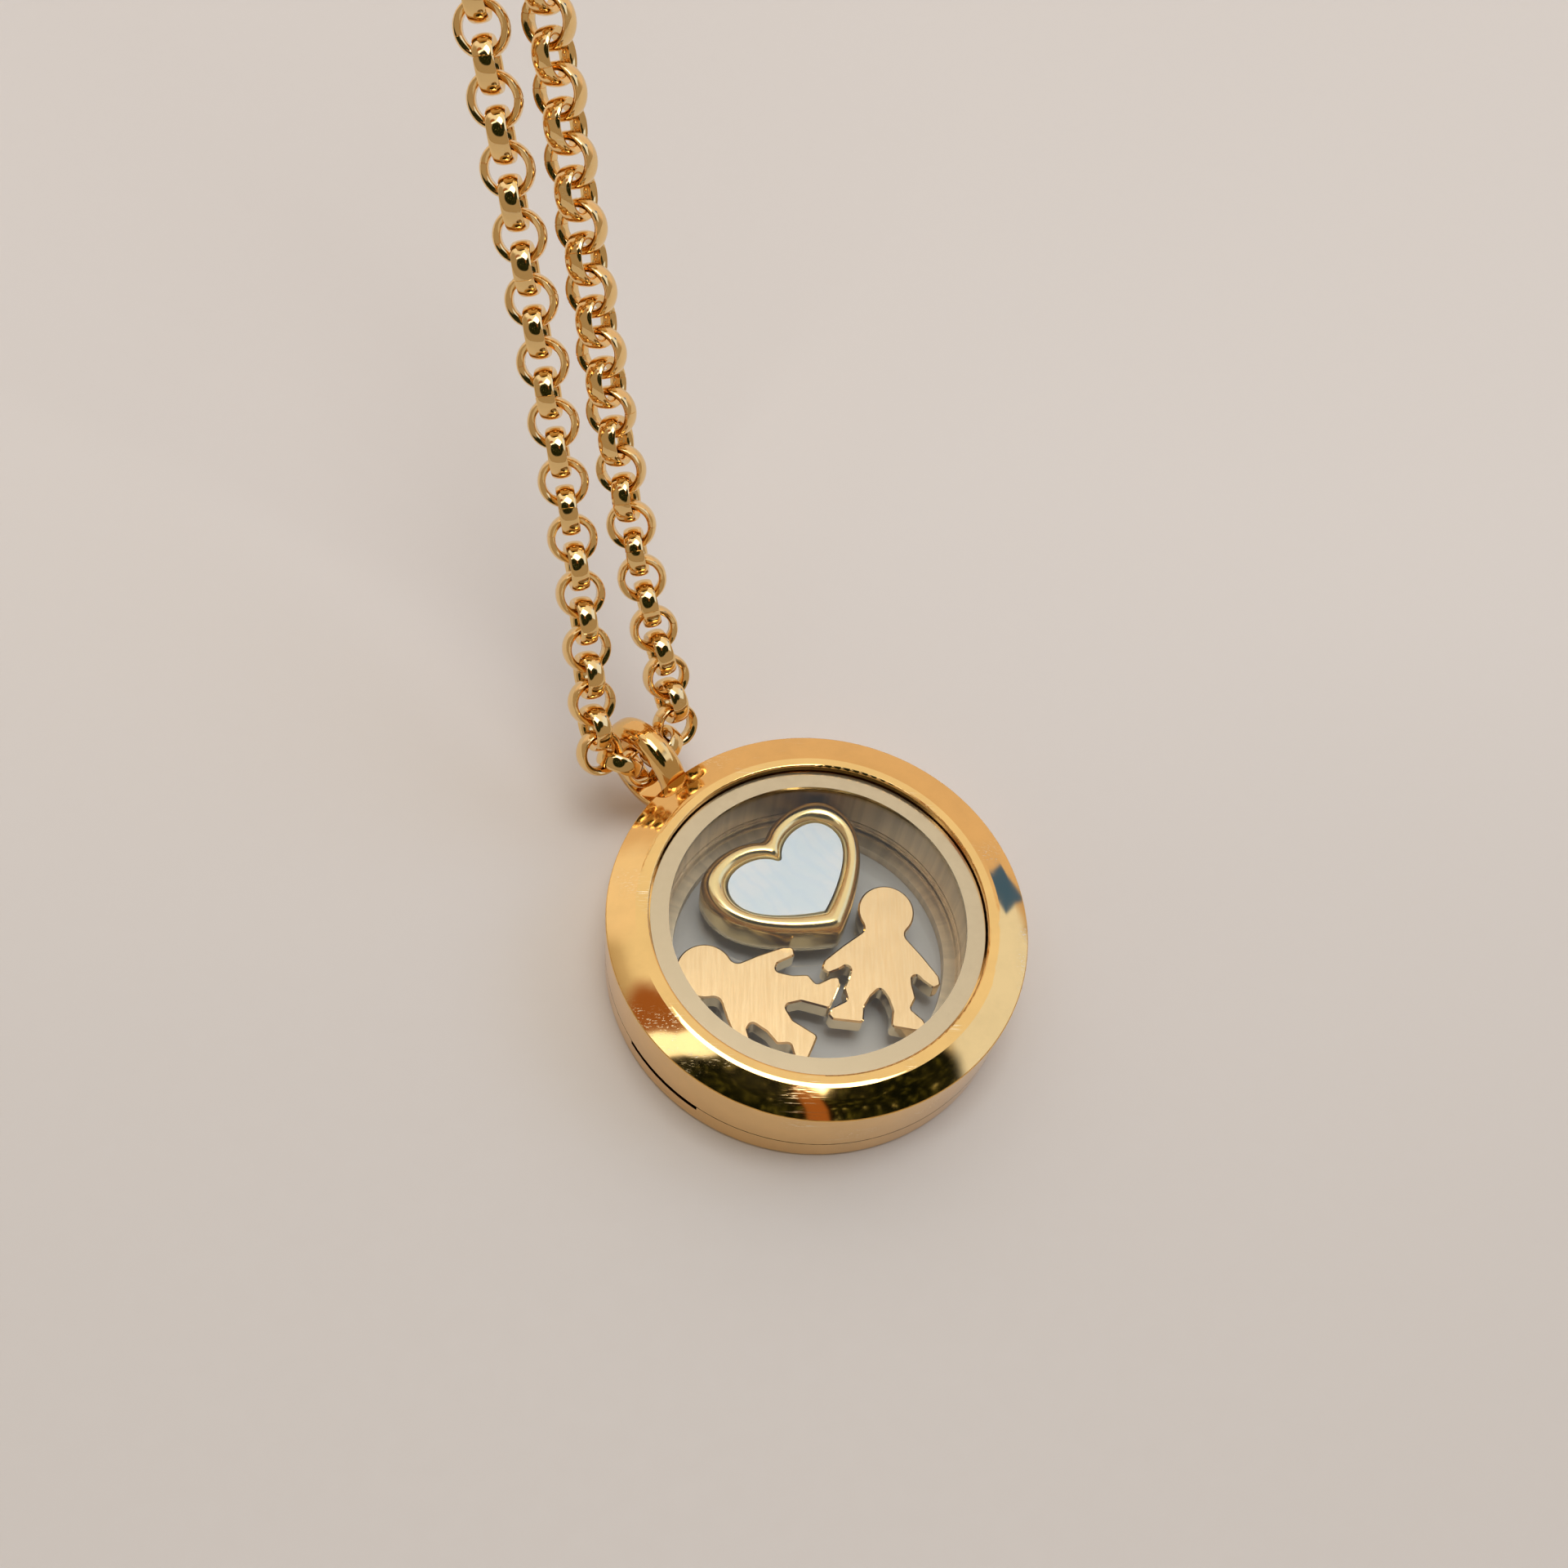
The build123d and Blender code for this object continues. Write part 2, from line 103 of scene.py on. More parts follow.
# Brushed figures
FLAT_FACING = (0.90, 0.99)
GRAIN_STRETCH = (9000.0, 420.0, 420.0)
GRAIN_TURN = (0, 0, 4)
GRAIN_NOISE = (1.0, 4.0, 0.65)
GRAIN_BUMP = 0.0007 * MM
CLOUD_NOISE = (260.0, 3.0, 0.5)
CLOUD_SPAN = (0.35, 0.65)
CLOUD_DARK = 0.95
STREAK_SPAN = (0.3, 0.75)
STREAK_SHARE = 0.18
BRUSHED_ROUGHNESS = (0.19, 0.25)
CUT_ROUGHNESS = 0.10

# Mother of pearl
DRIFT_STRETCH = (1.0, 1.9, 1.0)
DRIFT_TURN = (0, 0, 62)
DRIFT_NOISE = (300.0, 3.0, 0.55)
DRIFT_SPAN = (0.35, 0.70)
GROWTH_LINES = {"Scale": 420.0, "Distortion": 9.0, "Detail": 3.0, "Detail Scale": 0.6}
GROWTH_SPAN = (0.5, 1.0)
GROWTH_SHARE = 0.22
GROWTH_BUMP = 0.0008 * MM
PEARL_ROUGHNESS = (0.16, 0.26)
PEARL_COAT = 0.6
PEARL_COAT_ROUGHNESS = 0.05

# Cream ring
MOTTLE_NOISE = (900.0, 4.0, 0.6)
MOTTLE_BUMP = 0.002 * MM
CREAM_ROUGHNESS = (0.16, 0.21)
CREAM_METALLIC = 0.9

# Windows
GLASS_IOR = 1.5
SMEAR_STRETCH = (1.0, 2.4, 1.0)
SMEAR_TURN = (0, 0, 35)
SMEAR_NOISE = (160.0, 4.0, 0.6)
SMEAR_SPAN = (0.45, 0.75)
GLASS_ROUGHNESS = (0.015, 0.05)

# Links: angles in degrees, and shares of the wire's thickness and half width
CHAIN_SEEDS = {"chain_right": 11, "chain_left": 23}
LINK_STEPS = 44
SLIT_HALF = 1.2
SLIT_DEPTH = 0.05 * MM
SLIT_CLEAR = 8.0
SLIT_PLACE = (65, 115)
SECTION_FLAT = 0.58
SECTION_CORNER = (0.12, 0.14)
SECTION_SHOULDER = 0.62
SHOULDER_WIDTH = 0.985
CROWN_START = 0.06
CROWN_CUT = 0.06 * MM
CROWN_STEPS = 10
MERGE = 1e-7
SHARP_ANGLE = 42

# Heart's rim
RIM_STEPS = 72
RIM_ARC_STEPS = 14
RIM_WALL_SHARE = 0.60
RIM_FULLNESS = 0.62
RIM_FOOT_HEIGHT = 0.10 * MM
RIM_FOOT_SHARE = 0.05
UNDERSIDE_FACING = -0.9
UNDERSIDE_DEPTH = 0.01 * MM

# Floor
FLOOR_REACH = 8.0
FLOOR_GAP = 0.02 * MM
FLOOR_COLOUR = (0.84, 0.795, 0.74)
# Painted shade: the floor's colour in front of the case
FLOOR_PAINTED_SHADE = (0.73, 0.685, 0.63)
FLOOR_DRIFT = 40 * MM
FLOOR_FADE = (-25 * MM, 75 * MM)
FLOOR_DRIFT_NOISE = (9.0, 2.0, 0.5)
FLOOR_ROUGHNESS = (0.55, 0.68)
FLOOR_SPECULAR = 0.3
FIBRE_NOISE = (700.0, 4.0, 0.6)
FIBRE_BUMP = 0.006 * MM

# Colours of what the polished metal mirrors
BACKDROP = (0.85, 0.83, 0.81)
ROOM = (0.40, 0.32, 0.23)
WALL = (0.81, 0.67, 0.58)
WALL_BRIGHT = (0.98, 0.93, 0.94)
CEILING = (0.94, 0.93, 0.92)
GARDEN_DARK = (0.004, 0.006, 0.003)
GARDEN_LEAF = (0.12, 0.13, 0.035)
GARDEN_LIGHT = (0.55, 0.55, 0.33)
WOOD = (0.36, 0.14, 0.05)
PICTURE = (0.06, 0.17, 0.55)
WINDOW_RIGHT = (0.88, 1.02, 1.38)
WINDOW_LEFT = (1.6, 1.75, 2.0)
CEILING_LIGHT = (5.5, 5.5, 5.5)

# Round zones of the surroundings, in degrees: azimuth, elevation, full up to, gone from
CEILING_ZONE = (80.0, 66.0, 33.0, 48.0)
WALL_BRIGHT_ZONE = (138.0, 42.0, 7.0, 14.0)
GARDEN_ZONE = (265.0, 60.0, 29.0, 33.0)
GARDEN_SIDE_ZONE = (325.0, 61.0, 15.0, 19.0)
WOOD_ZONE = (179.0, 61.0, 6.0, 11.0)

# Rectangular zones, in degrees: azimuth, elevation, half width, half height, soft edge
WINDOW_RIGHT_ZONE = (12.0, 43.0, 19.0, 12.0, 3.0)
PICTURE_ZONE = (39.0, 30.0, 3.6, 5.0, 0.8)
POST_ZONE = (286.0, 72.0, 2.0, 10.0, 0.8)
WINDOW_LEFT_ZONE = (193.0, 65.0, 2.6, 9.0, 1.2)
CEILING_LIGHT_ZONE = (60.0, 87.5, 13.0, 10.5, 1.5)

# Nothing of a rectangular zone lies where the cosine to its middle is below this
ZONE_AHEAD = 0.05

# The back wall fades out between these elevations, and to the sides over this span of cosines
WALL_TOP = (56, 46)
WALL_SIDES = (0.30, 0.62)

# Leaves of the garden and the light between them
LEAF_NOISE = (34.0, 6.0, 0.75)
LEAF_SPAN = (0.50, 0.68)
GLINT_NOISE = (17.0, 3.0, 0.6)
GLINT_SPAN = (0.66, 0.70)

# Places taken from the frame: the case's axis on the surface that it lies on, and its cavity
glass_low, glass_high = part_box("front_glass")
rear_low, rear_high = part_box("back_glass")
floor_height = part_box("back_cover")[0].z
case_centre = Vector(((glass_low.x + glass_high.x) / 2, (glass_low.y + glass_high.y) / 2, floor_height))
cavity_radius = (rear_high.x - rear_low.x) / 2 + CAVITY_MARGIN


def direction(azimuth, elevation):
    """Unit vector for an azimuth about +Z from +X and an elevation above the floor."""
    a = radians(azimuth)
    e = radians(elevation)
    return Vector((cos(e) * cos(a), cos(e) * sin(a), sin(e)))


def darker(colour, share):
    return tuple(share * part for part in colour)


class Tree:
    """Short calls for making and linking shader nodes."""

    def __init__(self, tree):
        self.tree = tree

    def add(self, kind, **settings):
        node = self.tree.nodes.new(kind)
        for name, value in settings.items():
            setattr(node, name, value)
        return node

    def put(self, value, socket):
        """Link an output to a socket, or set the socket to a plain value."""
        if hasattr(value, "is_output"):
            self.tree.links.new(value, socket)
        elif isinstance(value, tuple) and len(value) == 3 and len(socket.default_value) == 4:
            socket.default_value = (*value, 1.0)
        else:
            socket.default_value = value

    def math(self, operation, *values):
        node = self.add("ShaderNodeMath", operation=operation)
        for value, socket in zip(values, node.inputs):
            self.put(value, socket)
        return node.outputs[0]

    def dot(self, first, second):
        node = self.add("ShaderNodeVectorMath", operation="DOT_PRODUCT")
        self.put(first, node.inputs[0])
        self.put(tuple(second), node.inputs[1])
        return node.outputs["Value"]

    def parts(self, vector):
        """The x, y and z of a vector."""
        node = self.add("ShaderNodeSeparateXYZ")
        self.put(vector, node.inputs[0])
        return node.outputs

    def ramp(self, value, low, high, to_low=0.0, to_high=1.0):
        """A smooth step from one value to another between two limits."""
        node = self.add("ShaderNodeMapRange", interpolation_type="SMOOTHSTEP")
        for item, socket in zip((value, low, high, to_low, to_high), node.inputs):
            self.put(item, socket)
        return node.outputs[0]

    def mix(self, share, first, second):
        """A mix of two colours. The node's first sockets after the share are for other kinds of data."""
        node = self.add("ShaderNodeMix", data_type="RGBA")
        self.put(share, node.inputs[0])
        self.put(first, node.inputs[6])
        self.put(second, node.inputs[7])
        return node.outputs[2]

    def noise(self, vector, scale, detail, roughness):
        node = self.add("ShaderNodeTexNoise")
        self.put(vector, node.inputs["Vector"])
        node.inputs["Scale"].default_value = scale
        node.inputs["Detail"].default_value = detail
        node.inputs["Roughness"].default_value = roughness
        return node.outputs[0]

    def stretched(self, vector, scale, turn):
        node = self.add("ShaderNodeMapping")
        self.put(vector, node.inputs["Vector"])
        node.inputs["Scale"].default_value = scale
        node.inputs["Rotation"].default_value = [radians(angle) for angle in turn]
        return node.outputs[0]

    def bump(self, height, distance):
        node = self.add("ShaderNodeBump")
        self.put(height, node.inputs["Height"])
        node.inputs["Distance"].default_value = distance
        node.inputs["Strength"].default_value = 1.0
        return node.outputs[0]


def new_material(name):
    material = bpy.data.materials.new(name)
    material.use_nodes = True
    nodes = Tree(material.node_tree)
    shader = material.node_tree.nodes["Principled BSDF"]
    place = nodes.add("ShaderNodeTexCoord").outputs["Object"]
    return material, nodes, shader, place


def scratches(nodes, place):
    """Thin straight scratches in a few directions that come in groups, 1 in a scratch and 0 beside it."""
    lines = None
    for turn in SCRATCH_TURNS:
        long = nodes.stretched(place, SCRATCH_STRETCH, turn)
        line = nodes.ramp(nodes.noise(long, *SCRATCH_NOISE), *SCRATCH_SPAN)
        lines = line if lines is None else nodes.math("MAXIMUM", lines, line)
    groups = nodes.ramp(nodes.noise(place, *GROUP_NOISE), *GROUP_SPAN)
    return nodes.math("MULTIPLY", lines, groups)


def make_polished_gold(name, colour, roughness, wear, cavity=0.0):
    """Mirror-polished plating with faint waves, hazy patches and fine scratches.
    Where a cavity's radius is given, the metal inside it is satin and paler."""
    material, nodes, shader, place = new_material(name)
    worn = scratches(nodes, place)
    haze = nodes.noise(place, *HAZE_NOISE)
    tone = nodes.mix(nodes.ramp(haze, *MOST), colour, darker(colour, PLAIN_DARK))
    plated = nodes.mix(nodes.math("MULTIPLY", worn, wear), tone, WORN_GOLD)
    smooth = nodes.ramp(haze, *HAZE_SPAN, roughness, roughness + HAZE_ROUGHNESS)
    rough = nodes.math("MULTIPLY_ADD", worn, WEAR_ROUGHNESS * wear, smooth)
    if cavity:
        east, north, _ = nodes.parts(place)
        across = nodes.math("SUBTRACT", east, case_centre.x)
        along = nodes.math("SUBTRACT", north, case_centre.y)
        square = nodes.math("MULTIPLY_ADD", across, across, nodes.math("MULTIPLY", along, along))
        inside = nodes.math("LESS_THAN", nodes.math("SQRT", square), cavity)
        ripple = nodes.add("ShaderNodeTexNoise", noise_dimensions="1D")
        nodes.put(nodes.math("ARCTAN2", along, across), ripple.inputs["W"])
        ripple.inputs["Scale"].default_value = RIPPLE_SCALE
        dull = darker(INNER_GOLD, RIPPLE_DARK)
        satin = nodes.mix(nodes.ramp(ripple.outputs[0], *MOST), INNER_GOLD, dull)
        plated = nodes.mix(inside, plated, satin)
        rough = nodes.math("ADD", nodes.math("MULTIPLY", inside, SATIN_ROUGHNESS), rough)
    nodes.put(plated, shader.inputs["Base Color"])
    nodes.put(rough, shader.inputs["Roughness"])
    dents = nodes.math("MULTIPLY", worn, -wear)
    wave = nodes.math("MULTIPLY_ADD", nodes.noise(place, *WAVE_NOISE), WAVE_HEIGHT, dents)
    nodes.put(nodes.bump(wave, POLISH_BUMP), shader.inputs["Normal"])
    shader.inputs["Metallic"].default_value = 1.0
    return material


def make_brushed_gold():
    """Flat faces with a fine straight grain, and smoother cut edges painted paler as a painted highlight, so
    they stay bright.
    """
    material, nodes, shader, place = new_material("brushed_gold")
    facing = nodes.add("ShaderNodeTexCoord").outputs["Normal"]
    flat = nodes.ramp(nodes.dot(facing, (0, 0, 1)), *FLAT_FACING)
    grain = nodes.noise(nodes.stretched(place, GRAIN_STRETCH, GRAIN_TURN), *GRAIN_NOISE)
    cloud = nodes.ramp(nodes.noise(place, *CLOUD_NOISE), *CLOUD_SPAN)
    tone = nodes.mix(cloud, BRUSHED_GOLD, darker(BRUSHED_GOLD, CLOUD_DARK))
    streaked = nodes.mix(nodes.ramp(grain, *STREAK_SPAN, 0.0, STREAK_SHARE), tone, WORN_GOLD)
    # Faces that don't face up get the painted highlight colour, and flat faces get the brushed grain
    nodes.put(nodes.mix(flat, CUT_EDGE_HIGHLIGHT, streaked), shader.inputs["Base Color"])
    more = nodes.math("SUBTRACT", nodes.ramp(grain, *MOST, *BRUSHED_ROUGHNESS), CUT_ROUGHNESS)
    nodes.put(nodes.math("MULTIPLY_ADD", more, flat, CUT_ROUGHNESS), shader.inputs["Roughness"])
    nodes.put(nodes.bump(nodes.math("MULTIPLY", grain, flat), GRAIN_BUMP), shader.inputs["Normal"])
    shader.inputs["Metallic"].default_value = 1.0
    return material


def make_pearl():
    """Mother of pearl: soft pale blue clouds and fine wavy growth lines under a clear polish."""
    material, nodes, shader, place = new_material("pearl")
    drift = nodes.noise(nodes.stretched(place, DRIFT_STRETCH, DRIFT_TURN), *DRIFT_NOISE)
    growth = nodes.add("ShaderNodeTexWave", wave_type="BANDS", bands_direction="DIAGONAL")
    nodes.put(place, growth.inputs["Vector"])
    for name, value in GROWTH_LINES.items():
        growth.inputs[name].default_value = value
    cloud = nodes.mix(nodes.ramp(drift, *DRIFT_SPAN), PEARL, PEARL_BRIGHT)
    band = nodes.ramp(growth.outputs["Fac"], *GROWTH_SPAN, 0.0, GROWTH_SHARE)
    nodes.put(nodes.mix(band, cloud, PEARL_SHADE), shader.inputs["Base Color"])
    nodes.put(nodes.ramp(drift, *MOST, *PEARL_ROUGHNESS), shader.inputs["Roughness"])
    nodes.put(nodes.bump(growth.outputs["Fac"], GROWTH_BUMP), shader.inputs["Normal"])
    shader.inputs["Coat Weight"].default_value = PEARL_COAT
    shader.inputs["Coat Roughness"].default_value = PEARL_COAT_ROUGHNESS
    return material


def make_cream():
    """Satin cream plating with a faint mottle."""
    material, nodes, shader, place = new_material("cream_ring")
    mottle = nodes.noise(place, *MOTTLE_NOISE)
    tone = nodes.mix(nodes.ramp(mottle, *MOST), CREAM, darker(CREAM, PLAIN_DARK))
    nodes.put(tone, shader.inputs["Base Color"])
    nodes.put(nodes.ramp(mottle, *MOST, *CREAM_ROUGHNESS), shader.inputs["Roughness"])
    nodes.put(nodes.bump(mottle, MOTTLE_BUMP), shader.inputs["Normal"])
    shader.inputs["Metallic"].default_value = CREAM_METALLIC
    return material


def make_window_glass():
    """Clear panes: light passes straight through, and a little is mirrored, more at a slant."""
    material, nodes, shader, place = new_material("window")
    film = nodes.add("ShaderNodeBsdfTransparent")
    nodes.put(GLASS_TINT, film.inputs["Color"])
    gloss = nodes.add("ShaderNodeBsdfGlossy")
    smear = nodes.noise(nodes.stretched(place, SMEAR_STRETCH, SMEAR_TURN), *SMEAR_NOISE)
    nodes.put(nodes.ramp(smear, *SMEAR_SPAN, *GLASS_ROUGHNESS), gloss.inputs["Roughness"])
    fresnel = nodes.add("ShaderNodeFresnel")
    fresnel.inputs["IOR"].default_value = GLASS_IOR
    facing = nodes.add("ShaderNodeNewGeometry").outputs["Backfacing"]
    outside = nodes.math("SUBTRACT", 1.0, facing)
    both = nodes.add("ShaderNodeMixShader")
    nodes.put(nodes.math("MULTIPLY", fresnel.outputs[0], outside), both.inputs[0])
    nodes.put(film.outputs[0], both.inputs[1])
    nodes.put(gloss.outputs[0], both.inputs[2])
    nodes.put(both.outputs[0], material.node_tree.nodes["Material Output"].inputs["Surface"])
    material.node_tree.nodes.remove(shader)
    return material


heart_gold = make_polished_gold("heart_gold", HEART_GOLD, *HEART_POLISH)
finishes = {
    "polished_gold": make_polished_gold("polished_gold", GOLD, *CASE_POLISH, cavity_radius),
    "chain_gold": make_polished_gold("chain_gold", CHAIN_GOLD, *CHAIN_POLISH),
    "brushed_gold": make_brushed_gold(),
    "cream_ring": make_cream(),
    "window": make_window_glass(),
    "pearl": make_pearl(),
}
for part in frame["record"]["subparts"]:
    mesh = frame["nodes"][part["node"]].data
    mesh.materials.clear()
    mesh.materials.append(finishes[part["material_slot"]])


def solid_triangles(node):
    """The triangles of each solid of a node, with corners that lie together taken as one."""
    mesh = frame["nodes"][node].data
    mesh.calc_loop_triangles()
    points = np.empty(3 * len(mesh.vertices))
    mesh.vertices.foreach_get("co", points)
    points = points.reshape(-1, 3)
    corners = np.empty(3 * len(mesh.loop_triangles), np.int32)
    mesh.loop_triangles.foreach_get("vertices", corners)
    steps = np.round(points / MERGE).astype(np.int64)
    keys, first, merged = np.unique(steps, axis=0, return_index=True, return_inverse=True)
    triangles = merged.reshape(-1)[corners].reshape(-1, 3)
    labels = np.arange(len(keys))
    while True:
        lowest = labels[triangles].min(axis=1)
        spread = labels.copy()
        np.minimum.at(spread, triangles.ravel(), np.repeat(lowest, 3))
        spread = spread[spread]
        if (spread == labels).all():
            break
        labels = spread
    owners = labels[triangles[:, 0]]
    order = list(dict.fromkeys(owners.tolist()))
    places = points[first]
    return [places[triangles[owners == owner]] for owner in order]


def facings(triangles):
    """A normal of each triangle, twice as long as its area."""
    return np.cross(triangles[:, 1] - triangles[:, 0], triangles[:, 2] - triangles[:, 0])


def ring_place(triangles):
    """Centre and axis of one round link, from its triangles weighed by area."""
    middles = triangles.mean(axis=1)
    areas = np.linalg.norm(facings(triangles), axis=1)
    centre = (middles * areas[:, None]).sum(axis=0) / areas.sum()
    spread = middles - centre
    values, vectors = np.linalg.eigh((spread * areas[:, None]).T @ spread)
    return centre, vectors[:, 0]


def ring_sizes(triangles, centre, axis):
    """Inner radius, outer radius and half width of one round link."""
    points = triangles.reshape(-1, 3) - centre
    height = points @ axis
    radius = np.linalg.norm(points - height[:, None] * axis, axis=1)
    return radius.min(), radius.max(), np.abs(height).max()


def link_section(inner, outer, half):
    """Half-round wire in radius and height: flat inside with soft corners, crowned outside."""
    thickness = outer - inner
    flat = SECTION_FLAT * half
    deep, wide = SECTION_CORNER
    shoulder = inner + SECTION_SHOULDER * thickness
    crown = [
        (shoulder + (outer - shoulder) * sin(turn), half * cos(turn))
        for turn in np.linspace(CROWN_START * pi, (1 - CROWN_START) * pi, CROWN_STEPS)
    ]
    sides = [(inner, flat), (inner + deep * thickness, flat + wide * half), (shoulder, SHOULDER_WIDTH * half)]
    return [*sides, *crown, *((r, -h) for r, h in reversed(sides))]


def finish_piece(name, points, faces, node, body, material):
    """A smooth piece with sharp edges and its material, attached to its body; the node's own mesh is hidden.
    """
    mesh = bpy.data.meshes.new(name)
    mesh.from_pydata([tuple(point) for point in points], [], faces)
    shape = bmesh.new()
    shape.from_mesh(mesh)
    bmesh.ops.recalc_face_normals(shape, faces=shape.faces)
    shape.to_mesh(mesh)
    shape.free()
    for face in mesh.polygons:
        face.use_smooth = True
    mesh.set_sharp_from_angle(angle=radians(SHARP_ANGLE))
    mesh.materials.append(material)
    piece = bpy.data.objects.new(name, mesh)
    bpy.context.scene.collection.objects.link(piece)
    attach(piece, body)
    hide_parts(node)


def make_links(node, seed):
    """Fine round links, each where a link of the node is, with a butt slit in the wire."""
    chance = np.random.default_rng(seed)
    solids = solid_triangles(node)
    places = [ring_place(solid) for solid in solids]
    inner, outer, half = ring_sizes(solids[0], *places[0])
    section = np.array(link_section(inner, outer - CROWN_CUT, half))
    middle = np.array(((inner + outer) / 2, 0.0))
    pulled = section + (middle - section) * (SLIT_DEPTH / np.linalg.norm(middle - section, axis=1))[:, None]
    slit = [(-SLIT_HALF, section), (-SLIT_HALF / 3, pulled), (SLIT_HALF / 3, pulled), (SLIT_HALF, section)]
    turns = np.linspace(SLIT_CLEAR, 360.0 - SLIT_CLEAR, LINK_STEPS - len(slit))
    rows = slit + [(angle, section) for angle in turns]
    points = []
    faces = []
    for number, (centre, axis) in enumerate(places):
        before = places[max(number - 1, 0)][0]
        after = places[min(number + 1, len(places) - 1)][0]
        along = after - before
        along = along - axis * (along @ axis)
        along /= np.linalg.norm(along)
        aside = np.cross(axis, along)
        start = radians(chance.choice((-1, 1)) * chance.uniform(*SLIT_PLACE))
        base = len(points)
        for angle, outline in rows:
            turn = start + radians(angle)
            outward = along * cos(turn) + aside * sin(turn)
            points.extend(centre + outward * r + axis * h for r, h in outline)
        size = len(section)
        for row in range(len(rows)):
            here = base + row * size
            there = base + (row + 1) % len(rows) * size
            faces.extend(
                (here + k, there + k, there + (k + 1) % size, here + (k + 1) % size) for k in range(size)
            )
    finish_piece(f"{node}_links", points, faces, node, "necklace", finishes["chain_gold"])


for node, seed in CHAIN_SEEDS.items():
    make_links(node, seed)


def point_key(point):
    return tuple(np.round(point / MERGE).astype(int))


def base_loops(triangles):
    """The closed outlines of a solid's underside, the longest first."""
    normals = facings(triangles)
    normals /= np.linalg.norm(normals, axis=1)[:, None]
    low = triangles[:, :, 2].min()
    level = triangles[:, :, 2].max(axis=1) < low + UNDERSIDE_DEPTH
    under = triangles[(normals[:, 2] < UNDERSIDE_FACING) & level]
    names = {}
    places = []
    for point in under.reshape(-1, 3):
        key = point_key(point)
        if key not in names:
            names[key] = len(places)
            places.append(point)
    edges = {}
    for triangle in under:
        ends = [names[point_key(point)] for point in triangle]
        for start, end in zip(ends, ends[1:] + ends[:1]):
            edges[(start, end)] = True
    follow = {start: end for start, end in edges if (end, start) not in edges}
    loops = []
    while follow:
        start = next(iter(follow))
        loop = [start]
        step = follow.pop(start)
        while step != start:
            loop.append(step)
            step = follow.pop(step)
        loops.append(np.array([places[number] for number in loop]))
    return sorted(loops, key=lambda loop: -np.linalg.norm(loop - np.roll(loop, 1, axis=0), axis=1).sum())


def resampled(points, count):
    """Points spread evenly along an open line."""
    steps = np.linalg.norm(np.diff(points, axis=0), axis=1)
    reach = np.concatenate([[0.0], np.cumsum(steps)])
    wanted = np.linspace(0.0, reach[-1], count)
    return np.stack([np.interp(wanted, reach, points[:, axis]) for axis in range(3)], axis=1)


def heart_halves(loop):
    """A heart's outline from its point to its dip on one side and back on the other."""
    centre = loop.mean(axis=0)
    dip = np.argmin(np.linalg.norm(loop - centre, axis=1))
    axis = centre - loop[dip]
    tip = np.argmax((loop - centre) @ axis)
    turned = np.roll(loop, -tip, axis=0)
    split = (dip - tip) % len(loop)
    first = resampled(turned[: split + 1], RIM_STEPS)
    second = resampled(np.vstack([turned[split:], turned[:1]]), RIM_STEPS)
    return np.vstack([first[:-1], second[:-1]])


def make_heart_rim():
    """A puffy rim: a plain side wall below and a round roll over to the inlay."""
    triangles = solid_triangles("heart_frame")[0]
    low = triangles[:, :, 2].min()
    high = triangles[:, :, 2].max()
    outer, inner = (heart_halves(loop) for loop in base_loops(triangles)[:2])
    if np.dot(outer[1] - outer[0], inner[1] - inner[0]) < 0:
        inner = np.roll(inner[::-1], 1, axis=0)
    wall = low + RIM_WALL_SHARE * (high - low)
    foot = low + RIM_FOOT_HEIGHT
    waist = (low + wall) / 2
    roll = [
        ((1 - cos(turn)) / 2, wall + (high - wall) * sin(turn) ** RIM_FULLNESS)
        for turn in np.linspace(0.0, pi, RIM_ARC_STEPS)
    ]
    rise = [(RIM_FOOT_SHARE, low), (0.0, foot), (0.0, waist)]
    section = rise + roll + [(1.0 - share, height) for share, height in reversed(rise)]
    points = []
    for share, height in section:
        ring = outer + (inner - outer) * share
        ring[:, 2] = height
        points.extend(ring)
    count = len(outer)
    rows = len(section)
    faces = []
    for row in range(rows):
        for k in range(count):
            after = (k + 1) % count
            above = (row + 1) % rows
            faces.append((row * count + k, row * count + after, above * count + after, above * count + k))
    finish_piece("heart_rim", points, faces, "heart_frame", "rear_cover", heart_gold)


make_heart_rim()


def make_floor():
    """A wide plain floor with painted shade: it is a little darker in front of the case."""
    mesh = bpy.data.meshes.new("floor")
    shape = bmesh.new()
    bmesh.ops.create_grid(shape, x_segments=1, y_segments=1, size=FLOOR_REACH)
    shape.to_mesh(mesh)
    shape.free()
    floor = bpy.data.objects.new("floor", mesh)
    floor.location = case_centre - Vector((0, 0, FLOOR_GAP))
    bpy.context.scene.collection.objects.link(floor)
    material, nodes, shader, place = new_material("floor_paper")
    north = nodes.parts(place)[1]
    drift = nodes.math("MULTIPLY_ADD", nodes.noise(place, *FLOOR_DRIFT_NOISE), FLOOR_DRIFT, north)
    fibre = nodes.noise(place, *FIBRE_NOISE)
    # Painted shade: the floor darkens towards the front of the case, along a randomly wavering line
    tone = nodes.mix(nodes.ramp(drift, *FLOOR_FADE), FLOOR_PAINTED_SHADE, FLOOR_COLOUR)
    nodes.put(tone, shader.inputs["Base Color"])
    nodes.put(nodes.ramp(fibre, *MOST, *FLOOR_ROUGHNESS), shader.inputs["Roughness"])
    nodes.put(nodes.bump(fibre, FIBRE_BUMP), shader.inputs["Normal"])
    shader.inputs["Specular IOR Level"].default_value = FLOOR_SPECULAR
    mesh.materials.append(material)


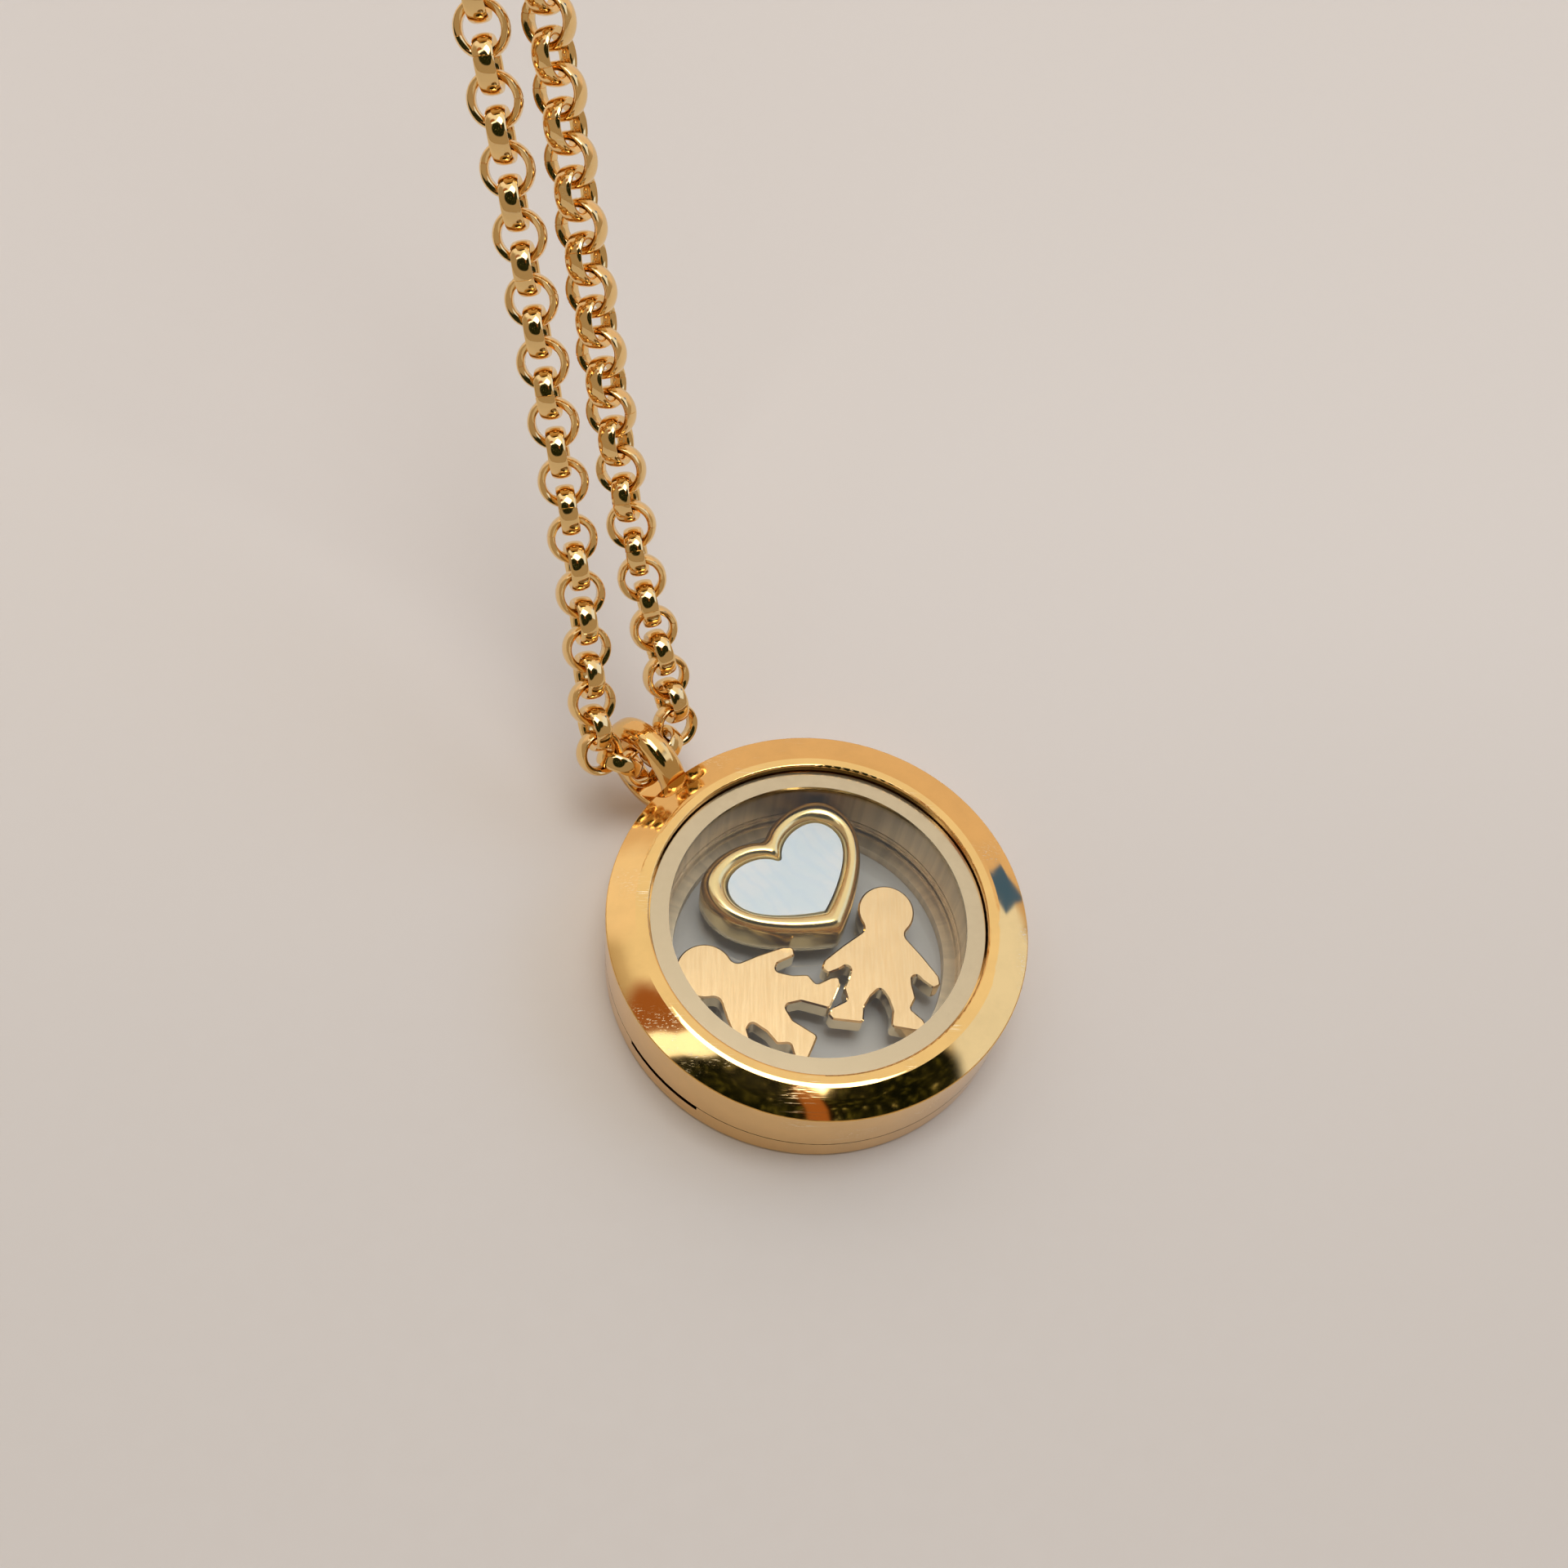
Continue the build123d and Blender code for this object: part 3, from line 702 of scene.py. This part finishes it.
class Surroundings(Tree):
    """The world's nodes, with calls for zones of the directions around the part."""

    def __init__(self, tree):
        super().__init__(tree)
        self.look = self.add("ShaderNodeTexCoord").outputs["Generated"]

    def patch(self, azimuth, elevation, inner, outer):
        """Share of a round zone: 1 inside the first angle from its middle, 0 outside the second."""
        facing = self.dot(self.look, direction(azimuth, elevation))
        return self.ramp(facing, cos(radians(outer)), cos(radians(inner)))

    def pane(self, azimuth, elevation, half_width, half_height, soft):
        """Share of a rectangular zone, from its half sizes and the width of its soft edge."""
        towards = direction(azimuth, elevation)
        aside = Vector((0, 0, 1)).cross(towards).normalized()
        upward = towards.cross(aside)
        ahead = self.dot(self.look, towards)
        share = self.math("GREATER_THAN", ahead, ZONE_AHEAD)
        reach = self.math("MAXIMUM", ahead, ZONE_AHEAD)
        for axis, half in ((aside, half_width), (upward, half_height)):
            spread = self.math("ABSOLUTE", self.math("DIVIDE", self.dot(self.look, axis), reach))
            edge = self.ramp(spread, tan(radians(half + soft)), tan(radians(half)))
            share = self.math("MULTIPLY", share, edge)
        return share


def make_surroundings():
    """Soft zones of colour far away on all sides, which light the part and which the metal mirrors."""
    world = bpy.data.worlds.new("studio")
    bpy.context.scene.world = world
    world.use_nodes = True
    nodes = Surroundings(world.node_tree)
    look = nodes.look
    _, ahead, height = nodes.parts(look)
    leaves = nodes.ramp(nodes.noise(look, *LEAF_NOISE), *LEAF_SPAN)
    glints = nodes.ramp(nodes.noise(look, *GLINT_NOISE), *GLINT_SPAN)
    garden = nodes.mix(glints, nodes.mix(leaves, GARDEN_DARK, GARDEN_LEAF), GARDEN_LIGHT)
    garden_share = nodes.math("MAXIMUM", nodes.patch(*GARDEN_ZONE), nodes.patch(*GARDEN_SIDE_ZONE))
    below_ceiling = nodes.ramp(height, *(sin(radians(angle)) for angle in WALL_TOP))
    back_wall = nodes.math("MULTIPLY", below_ceiling, nodes.ramp(ahead, *WALL_SIDES))
    sky = ROOM
    for share, colour in (
        (nodes.patch(*CEILING_ZONE), CEILING),
        (back_wall, WALL),
        (nodes.patch(*WALL_BRIGHT_ZONE), WALL_BRIGHT),
        (nodes.pane(*WINDOW_RIGHT_ZONE), WINDOW_RIGHT),
        (nodes.pane(*PICTURE_ZONE), PICTURE),
        (garden_share, garden),
        (nodes.patch(*WOOD_ZONE), WOOD),
        (nodes.pane(*POST_ZONE), WOOD),
        (nodes.pane(*WINDOW_LEFT_ZONE), WINDOW_LEFT),
        (nodes.pane(*CEILING_LIGHT_ZONE), CEILING_LIGHT),
    ):
        sky = nodes.mix(share, sky, colour)
    seen = nodes.add("ShaderNodeLightPath").outputs["Is Camera Ray"]
    background = world.node_tree.nodes["Background"]
    nodes.put(nodes.mix(seen, sky, BACKDROP), background.inputs["Color"])
    background.inputs["Strength"].default_value = 1.0


def make_camera():
    data = bpy.data.cameras.new("camera")
    data.lens = CAMERA_LENS
    data.sensor_width = SENSOR
    data.clip_start = CLIP_START
    camera = bpy.data.objects.new("camera", data)
    camera.location = case_centre + CAMERA_PLACE
    camera.rotation_euler = [radians(angle) for angle in CAMERA_TURN]
    bpy.context.scene.collection.objects.link(camera)
    bpy.context.scene.camera = camera
    bpy.context.scene.view_settings.view_transform = "Standard"


make_floor()
make_surroundings()
make_camera()
